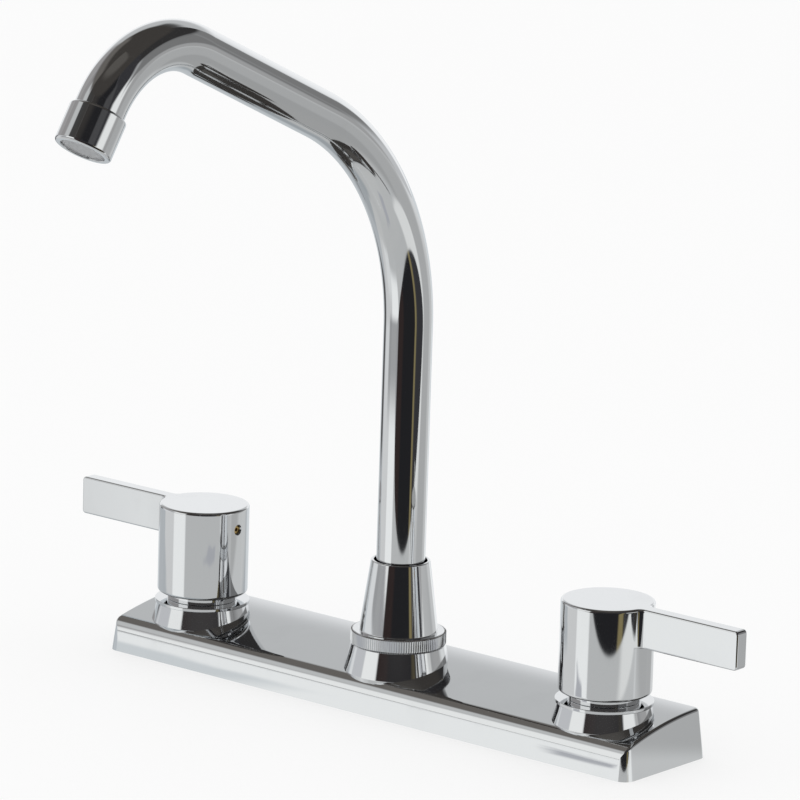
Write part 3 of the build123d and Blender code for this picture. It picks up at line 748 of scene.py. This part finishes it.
def grown(name, data, group, values):
    """Run a tree on new data and return its result as a plain mesh object."""
    source = linked(f"{name} source", data)
    change = source.modifiers.new("nodes", "NODES")
    change.node_group = group
    for item in group.interface.items_tree:
        if item.in_out == "INPUT" and item.name in values:
            change[item.identifier] = values[item.name]
    graph = bpy.context.evaluated_depsgraph_get()
    mesh = bpy.data.meshes.new_from_object(source.evaluated_get(graph))
    source.modifiers.clear()
    bpy.data.objects.remove(source)
    return linked(name, mesh)


def bent_tube_tree():
    """Rounds the corners of a path by its points' radii and runs a tube along it."""
    numbers = [
        ("Tube radius", "NodeSocketFloat", 0.01),
        ("Round steps", "NodeSocketInt", 96),
        ("Sides", "NodeSocketInt", 128),
    ]
    group, tree, inputs = node_group("bent tube", numbers)
    bend = tree.add("GeometryNodeInputRadius").outputs[0]
    steps = inputs["Round steps"]
    sockets = {"Curve": inputs["Geometry"], "Radius": bend, "Count": steps, "Limit Radius": True}
    path = tree.add("GeometryNodeFilletCurve", {"mode": "POLY"}, sockets).outputs[0]
    even = tree.add("GeometryNodeSetCurveRadius", {}, {"Curve": path, "Radius": 1.0}).outputs[0]
    level = tree.add("GeometryNodeSetCurveNormal", {"mode": "MINIMUM_TWIST"}, {"Curve": even}).outputs[0]
    circle = {"Resolution": inputs["Sides"], "Radius": inputs["Tube radius"]}
    section = tree.add("GeometryNodeCurvePrimitiveCircle", {"mode": "RADIUS"}, circle).outputs[0]
    tube = tree.add("GeometryNodeCurveToMesh", {}, {"Curve": level, "Profile Curve": section}).outputs[0]
    closed_tree(tree, tube, inputs)
    return group


def spout_path(spout):
    """The two corners of the spout's middle line, the way out of the second one, and where that bend ends."""
    first = spout.main_bend * tan(spout.main_angle / 2)
    second = spout.tip_bend * tan(spout.tip_angle / 2)
    way = Vector((0, -sin(spout.main_angle), cos(spout.main_angle)))
    whole = spout.main_angle + spout.tip_angle
    down = Vector((0, -sin(whole), cos(whole)))
    corner = Vector((0, 0, spout.riser_top + first))
    bend = corner + way * (first + spout.reach + second)
    return corner, bend, down, bend + down * second


class FAUCET_OT_spout_tube(bpy.types.Operator):
    """Bend the spout tube along its path"""

    bl_idname = "faucet.spout_tube"
    bl_label = "Spout tube"

    def execute(self, context):
        spout = context.scene.faucet_spout
        corner, bend, down, straight = spout_path(spout)
        foot, end = Vector((0, 0, spout.foot)), straight + down * (spout.tip + spout.thread)
        curve = bpy.data.curves.new("spout path", "CURVE")
        curve.dimensions = "3D"
        spline = curve.splines.new("POLY")
        spline.points.add(3)
        stations = ((foot, 0), (corner, spout.main_bend), (bend, spout.tip_bend), (end, 0))
        for point, (place, radius) in zip(spline.points, stations):
            point.co, point.radius = (*place, 1.0), radius
        piece = grown("spout_tube_bent", curve, bent_tube_tree(), {"Tube radius": spout.tube})
        wall = piece.modifiers.new("wall", "SOLIDIFY")
        wall.thickness, wall.offset, wall.use_even_offset = spout.wall, -1, True
        handed_over(shaded(applied(piece)), "spout", "chrome", "spout_tube")
        return {"FINISHED"}


def around_tree():
    """Places the input piece many times round the Z axis."""
    numbers = [
        ("Count", "NodeSocketInt", 12), ("Radius", "NodeSocketFloat", 0.01), ("Height", "NodeSocketFloat", 0.0),
    ]
    group, tree, inputs = node_group("around", numbers)
    circle = {"Vertices": inputs["Count"], "Radius": inputs["Radius"]}
    points = tree.add("GeometryNodeMeshCircle", {"fill_type": "NONE"}, circle).outputs[0]
    lift = tree.add("ShaderNodeCombineXYZ", {}, {"Z": inputs["Height"]}).outputs[0]
    raised = tree.add("GeometryNodeSetPosition", {}, {"Geometry": points, "Offset": lift}).outputs[0]
    place = tree.add("GeometryNodeInputPosition").outputs[0]
    flat = tree.add("ShaderNodeVectorMath", {"operation": "MULTIPLY"}, {0: place, 1: (1, 1, 0)}).outputs[0]
    facing = tree.add("FunctionNodeAlignRotationToVector", {"axis": "X"}, {"Vector": flat}).outputs[0]
    sockets = {"Points": raised, "Instance": inputs["Geometry"], "Rotation": facing}
    many = tree.add("GeometryNodeInstanceOnPoints", {}, sockets).outputs[0]
    closed_tree(tree, many, inputs)
    return group


class FAUCET_OT_spout_nut(bpy.types.Operator):
    """Turn the tapered spout nut and knurl its foot"""

    bl_idname = "faucet.spout_nut"
    bl_label = "Spout nut"

    def execute(self, context):
        spout = context.scene.faucet_spout
        low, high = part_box("spout_nut")
        seat, top = low[2], high[2]
        foot = seat - spout.knurl_drop
        knurl_top = foot + spout.knurl_height
        core, depth, bevel = spout.knurl - spout.knurl_depth, spout.knurl_depth, 0.0004
        bore, relief, mouth = spout.nut_bore, spout.nut_relief, spout.nut_mouth
        collar, ledge = knurl_top + 0.0003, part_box("glide_ring")[1][2]
        # From the bore's foot round the relief, up the knurl's core and the taper, and down inside the mouth.
        corners = [
            (bore, seat, 0), (relief, seat, 0), (relief, foot, 0),
            (core - bevel, foot, 0), (core, foot + bevel, 0),
            (core, knurl_top - 0.0001, 0.0001), (core - bevel, collar, 0.0001),
            (spout.collar_foot, collar, 0.0003), (spout.collar_top, top, 0.00045),
            (mouth, top, 0.0003), (mouth, ledge, 0), (bore, ledge, 0),
        ]
        piece = new_object("spout_nut_turned", turned(rounded(corners), 192))
        handed_over(shaded(piece), "base", "chrome", "spout_nut")
        # One rib, as its height, how far it leans in there and how far it stands out.
        straight = spout.knurl_height - 0.0001
        levels = (
            (0.0, 0.0, 0.0), (0.0005, 0.0, depth), (straight, 0.0, depth),
            (straight + 0.0003, 0.0005, depth * 0.8),
        )
        pitch = 2 * pi * core / spout.knurl_teeth
        loops = []
        for height, lean, out in levels:
            half = [(-bevel, pitch / 2), (0.0, pitch / 2), (out * 0.7, pitch / 4), (out, pitch / 14)]
            sides = [(x, -y) for x, y in half] + half[::-1]
            narrow = 1 - lean / core
            loops.append([(x - lean, y * narrow, height) for x, y in sides])
        rib = bmesh.new()
        capped(rib, loft(rib, loops))
        values = {"Count": spout.knurl_teeth, "Radius": core, "Height": foot}
        ribs = grown("spout_nut_knurl", kept("rib", rib), around_tree(), values)
        handed_over(shaded(ribs, radians(20)), "base", "chrome", "spout_nut")
        return {"FINISHED"}


# ---------------------------------------------------------------- aerator


def outlet_place(spout):
    """The frame at the top of the aerator, with Z along the water."""
    _, _, down, straight = spout_path(spout)
    side = Vector((1, 0, 0))
    place = Matrix((side, down.cross(side), down)).transposed().to_4x4()
    place.translation = straight + down * spout.tip
    return place


def bars_tree():
    """A row of bars across a round opening, each as long as the opening is wide there."""
    numbers = [
        ("Bars", "NodeSocketInt", 18), ("Pitch", "NodeSocketFloat", 0.00095),
        ("Opening", "NodeSocketFloat", 0.0083), ("Bar width", "NodeSocketFloat", 0.00045),
    ]
    group, tree, inputs = node_group("grille bars", numbers)

    def number(name):
        return Number(tree, inputs[name])

    index = Number(tree, tree.add("GeometryNodeInputIndex").outputs[0])
    offset = (index - (number("Bars") - 1) * 0.5) * number("Pitch")
    place = tree.add("ShaderNodeCombineXYZ", {}, {"X": offset}).outputs[0]
    points = tree.add("GeometryNodePoints", {}, {"Count": inputs["Bars"], "Position": place}).outputs[0]
    half = (number("Opening") ** 2 - offset * offset) ** 0.5
    scale = tree.add("ShaderNodeCombineXYZ", {}, {"X": number("Bar width"), "Y": half * 2, "Z": 1.0}).outputs[0]
    sockets = {"Points": points, "Instance": inputs["Geometry"], "Scale": scale}
    many = tree.add("GeometryNodeInstanceOnPoints", {}, sockets).outputs[0]
    closed_tree(tree, many, inputs)
    return group


class FAUCET_OT_aerator(bpy.types.Operator):
    """Turn the aerator's sleeve and fit its slotted grille"""

    bl_idname = "faucet.aerator"
    bl_label = "Aerator"

    def execute(self, context):
        spout = context.scene.faucet_spout
        place = outlet_place(spout)
        length, radius = spout.aerator_length, spout.aerator
        bore, mouth, ledge = spout.tube + 0.00005, 0.0085, length - spout.grille_setback
        corners = [
            (bore, 0, 0), (radius, 0, 0.00105), (radius, length, 0.0010), (mouth, length, 0.0003),
            (mouth, ledge, 0), (bore, ledge, 0),
        ]
        piece = new_object("aerator_sleeve", turned(rounded(corners), 160, place))
        handed_over(shaded(piece), "spout", "chrome", "aerator_housing")
        # One bar, a unit wide and long, which the tree scales to its place.
        half = spout.grille_half
        square = ((-0.5, -half), (0.5, -half), (0.5, half), (-0.5, half))
        sides = rounded([(x, z, 0.00018) for x, z in square], 2)
        bar = bmesh.new()
        capped(bar, loft(bar, [[(x, y, z) for x, z in sides] for y in (-0.5, 0.5)]))
        grille = place @ Matrix.Translation((0, 0, ledge - half))
        values = {"Bars": spout.grille_bars, "Opening": spout.grille}
        bars = grown("aerator_grille_bars", kept("bar", bar), bars_tree(), values)
        bars.data.transform(grille)
        inner, outer = spout.grille - 0.0001, spout.grille + 0.0007
        corners = [(inner, -half, 0.0002), (outer, -half, 0), (outer, half, 0), (inner, half, 0.0003)]
        rim = new_object("aerator_grille_rim", turned(rounded(corners, 4), 96, grille))
        for part in (bars, rim):
            handed_over(shaded(part), "spout", "grey_plastic", "aerator_grille")
        return {"FINISHED"}


# ---------------------------------------------------------------- inner pieces


class FAUCET_OT_inner_pieces(bpy.types.Operator):
    """Give the valves, seals and fastenings their brass, rubber, ceramic and copper"""

    bl_idname = "faucet.inner_pieces"
    bl_label = "Inner pieces"

    def execute(self, context):
        made = {}
        for part in frame["record"]["subparts"]:
            slot = part["material_slot"]
            if slot not in made:
                made[slot] = dressed(slot, "pieces")
            for holder in frame["nodes"][part["node"]].material_slots:
                holder.material = made[slot]
        return {"FINISHED"}


# ---------------------------------------------------------------- stage


def camera():
    """The camera at the photograph's angle."""
    azimuth, tilt, roll = radians(39.2), radians(13.13), radians(1.82)
    away, frame_width, focal = 2.31785, 800, 6000.0  # metres to the aim, then pixels
    right = Vector((cos(azimuth), sin(azimuth), 0))
    back = Vector((sin(azimuth) * cos(tilt), -cos(azimuth) * cos(tilt), sin(tilt)))
    up = back.cross(right)
    across = cos(roll) * right + sin(roll) * up
    upward = -sin(roll) * right + cos(roll) * up
    # The riser's point at a height of 0.1 lies this many pixels right of the frame's middle and below it.
    aside, below = 4.13, 53.05
    aim = Vector((0, 0, 0.1)) - (aside * across - below * upward) * away / focal
    data = bpy.data.cameras.new("camera")
    data.sensor_width, data.clip_end = 36, 50
    data.lens = data.sensor_width * focal / frame_width
    thing = linked("camera", data)
    place = Matrix((across, upward, back)).transposed().to_4x4()
    place.translation = aim + back * away
    thing.matrix_world = place
    bpy.context.scene.camera = thing


def compass(tree, direction):
    """Azimuth from -Y towards +X and elevation of a direction, in degrees."""
    parts = tree.add("ShaderNodeSeparateXYZ", {}, {0: direction}).outputs
    x, y, z = (Number(tree, part) for part in parts)
    return x.math("ARCTAN2", x, y * -1) * (180 / pi), z.math("ARCSINE", z) * (180 / pi), (x, y, z)


def studio(tree, azimuth, elevation):
    """What the plating mirrors beyond the floor: pale paper walls, a dark room in front and a dark ceiling."""

    def zone(left, right, low=-90, high=90, soft=3, soft_up=4):
        inside = azimuth.between(left - soft, left + soft, right - soft, right + soft)
        if low > -90:
            inside = inside * elevation.within(low - soft_up, low + soft_up)
        if high < 90:
            inside = inside * (1 - elevation.within(high - soft_up, high + soft_up))
        return inside

    # Left, right, low and high edge in degrees, how soft they are sideways and upwards, and the colour.
    layers = (
        ((-178, -109, -90, 19, 3, 7), (0.98, 0.99, 1.0)),  # paper behind, on the left
        ((-178, -109, 24, 90, 3, 6), (0.56, 0.57, 0.575)),
        ((-188, -150, 39, 90, 6, 5), 0.10),
        ((156, 182, -90, 6, 6, 4), (0.60, 0.61, 0.62)),  # paper behind, on the right
        ((156, 182, 6, 28, 6, 4), 0.22),
        ((114, 158, -90, 5, 4, 3), 0.40),
        ((114, 158, 5, 28, 4, 3), 0.21),
        ((106, 182, 27, 90, 5, 3), (0.035, 0.034, 0.034)),
        ((-112, -86, 8, 90), (0.38, 0.37, 0.37)),  # left wall
        ((-110, -86, -90, 3), 0.10),
        ((-86, -40, -90, 13, 4, 3), (0.60, 0.61, 0.63)),
        ((-86, -42, 13, 40, 3, 3), (0.34, 0.33, 0.33)),
        ((-42, -6, -90, 34, 2, 6), (0.95, 0.96, 0.95)),  # lamp, front left
        ((-42, -6, 36, 90, 2, 4), 0.06),
        ((-46, -6, -90, -3, 3, 1), (0.38, 0.38, 0.39)),
        ((-110, -42, 39, 90, 3, 4), (0.20, 0.19, 0.19)),
        ((-64, -42, 24, 44, 4, 4), (0.58, 0.59, 0.59)),
        ((-6, 82, -90, 90, 2), (0.018, 0.018, 0.020)),  # dark room in front
        ((-6, 18, -30, 40, 5), (0.034, 0.024, 0.023)),
        ((-6, 82, 12, 26, 2, 3), (0.055, 0.052, 0.052)),
        ((71, 79, -40, 9, 2), (0.24, 0.20, 0.10)),
        ((80, 112, -90, 90, 3), (0.040, 0.040, 0.044)),
        ((62, 86, 20, 34, 3, 3), (0.075, 0.075, 0.078)),
        ((83, 113, -2, 14, 3, 3), (0.92, 0.93, 0.92)),  # window, right
        ((90, 121, -2, 6, 3, 3), (0.92, 0.93, 0.92)),
        ((-220, 220, 46, 90, 3, 4), (0.055, 0.050, 0.046)),  # ceiling
        ((-120, -46, 44, 62, 5, 5), (0.15, 0.14, 0.13)),
        ((-30, 90, 64, 90, 8, 5), (0.105, 0.098, 0.090)),
    )
    colour = (0.58, 0.59, 0.60)
    for edges, over in layers:
        colour = tree.mix(zone(*edges), colour, over if isinstance(over, tuple) else (over,) * 3)
    return colour


class FAUCET_OT_stage(bpy.types.Operator):
    """Set the camera, the pale floor and the soft light"""

    bl_idname = "faucet.stage"
    bl_label = "Stage"

    def execute(self, context):
        camera()
        self.floor(context)
        self.world(context)
        context.scene.view_settings.view_transform = "Standard"
        return {"FINISHED"}

    def floor(self, context):
        mesh = bmesh.new()
        bmesh.ops.create_grid(mesh, x_segments=1, y_segments=1, size=4.0)
        piece = new_object("floor", mesh)
        made, tree, shader, place = material("floor")
        looks = context.scene.faucet_stage
        cloud = tree.noise(place, 3, 2)
        dark, light = shades(looks.floor, 0.99, 1.0)
        finish(shader, tree, 0.0, tree.mix(cloud, dark, light), cloud * 0.1 + 0.6)
        azimuth, _, (x, y, _) = compass(tree, place)
        low = azimuth * 0 - 5  # past the paper, the room shows as it does 5 degrees below the horizon
        # The paper ends in two straight edges towards the camera. Lengths are metres, azimuths degrees.
        across = x * sin(radians(45)) - y * cos(radians(45))
        right_edge = across.within(0.243, 0.253)
        left_edge = (x * sin(radians(58)) - y * cos(radians(58))).within(0.185, 0.195)
        beyond = right_edge * left_edge
        away = (x * x + y * y) ** 0.5
        beyond = beyond.larger(azimuth.between(-112, -106, -84, -78) * away.within(0.36, 0.46))
        # Greyer and lighter patches painted into the paper's glow: painted reflections, set where the plating
        # mirrors them.
        far_front = azimuth.between(-60, -52, -10, -2) * away.within(0.45, 0.6)
        back = azimuth.between(98, 112, 150, 165)
        strip = across.within(0.16, 0.175) * azimuth.between(74, 82, 112, 120)
        wander = tree.noise(place, 14, 3) * 0.04 - 0.02
        slant = x - y * 0.704 + wander
        # dull marks a darker patch of painted reflection, not a duller paper.
        dull = (y + wander).between(-0.135, -0.12, -0.072, -0.06) * slant.between(0.100, 0.114, 0.141, 0.147)
        left = (1 - (x + wander).within(-0.09, -0.04)) * (y + wander).within(-0.075, -0.055)
        # The paper's glow: its brightness as the plating mirrors it, painted in as a colour rather than lit.
        paper_glow, hidden = (0.52, 0.53, 0.53), 0.0
        patches = (
            (left, 0.2, (0.36, 0.39, 0.41)), (back, 0.2, (0.385, 0.39, 0.39)), (strip, 0.9, (0.80, 0.81, 0.80)),
            (far_front, 0.8, (0.32, 0.325, 0.33)), (dull, 0.9, (0.44, 0.45, 0.48)),
        )
        for mask, cover, over in patches:
            paper_glow = tree.mix(mask, paper_glow, over)
            hidden = (mask * cover).larger(hidden)
        # Painted reflection: to glossy rays the floor glows with this colour, the paper's painted glow and,
        # past the paper's edges, the room's colours painted in.
        mirrored = tree.mix(beyond, paper_glow, studio(tree, azimuth, low))
        # The paper's own sheen mirrors the object, but not where a patch covers it.
        sheen = tree.mix((1 - beyond) * (1 - hidden), (0.0, 0.0, 0.0), (0.46, 0.46, 0.46))
        rays = tree.add("ShaderNodeLightPath").outputs
        seen = tree.add("ShaderNodeEmission", {}, {"Color": (1, 1, 1, 1), "Strength": 1.0}).outputs[0]
        glow = tree.add("ShaderNodeEmission", {}, {"Color": mirrored, "Strength": 1.0}).outputs[0]
        gloss = tree.add("ShaderNodeBsdfAnisotropic", {}, {"Color": sheen, "Roughness": 0.04}).outputs[0]
        shown = tree.add("ShaderNodeAddShader", {}, {0: glow, 1: gloss}).outputs[0]
        diffuse = shader.outputs[0]
        plain = Number(tree, rays["Is Camera Ray"]) * 0.7
        first = tree.add("ShaderNodeMixShader", {}, {0: plain, 1: diffuse, 2: seen}).outputs[0]
        both = tree.add("ShaderNodeMixShader", {}, {0: rays["Is Glossy Ray"], 1: first, 2: shown}).outputs[0]
        end = next(node for node in tree.tree.nodes if node.type == "OUTPUT_MATERIAL")
        tree.tree.links.new(both, end.inputs["Surface"])
        piece.data.materials.append(made)

    def world(self, context):
        world = bpy.data.worlds.new("studio")
        context.scene.world = world
        world.use_nodes = True
        tree = Tree(world.node_tree)
        direction = tree.add("ShaderNodeTexCoord").outputs["Generated"]
        azimuth, elevation, _ = compass(tree, direction)
        rays = tree.add("ShaderNodeLightPath").outputs
        mirrored = studio(tree, azimuth, elevation)
        colour = tree.mix(rays["Is Glossy Ray"], (1.0, 1.0, 1.0), mirrored)
        back = tree.add("ShaderNodeBackground", {}, {"Color": colour, "Strength": 1.0})
        tree.add("ShaderNodeOutputWorld", {}, {"Surface": back.outputs[0]})


class FAUCET_PT_pieces(bpy.types.Panel):
    """Lists the operators in the order that they run"""

    bl_label = "Kitchen faucet"
    bl_idname = "FAUCET_PT_pieces"
    bl_space_type = "VIEW_3D"
    bl_region_type = "UI"
    bl_category = "Faucet"

    def draw(self, context):
        for operator in OPERATORS:
            self.layout.operator(operator.bl_idname)


GROUPS = {
    "faucet_plate": PlateSizes, "faucet_handle": HandleSizes, "faucet_spout": SpoutSizes,
    "faucet_finishes": Finishes, "faucet_stage": StageLooks,
}
OPERATORS = (
    FAUCET_OT_inner_pieces, FAUCET_OT_deck_plate, FAUCET_OT_handles, FAUCET_OT_bonnet_nuts,
    FAUCET_OT_spout_nut, FAUCET_OT_spout_tube, FAUCET_OT_aerator, FAUCET_OT_stage,
)


def register():
    for kind in (*GROUPS.values(), *OPERATORS, FAUCET_PT_pieces):
        bpy.utils.register_class(kind)
    for name, kind in GROUPS.items():
        setattr(bpy.types.Scene, name, bpy.props.PointerProperty(type=kind))


def unregister():
    for name in GROUPS:
        delattr(bpy.types.Scene, name)
    for kind in (FAUCET_PT_pieces, *reversed(OPERATORS), *GROUPS.values()):
        bpy.utils.unregister_class(kind)


def main():
    register()
    for operator in OPERATORS:
        family, name = operator.bl_idname.split(".")
        getattr(getattr(bpy.ops, family), name)()


if __name__ == "__main__":
    main()
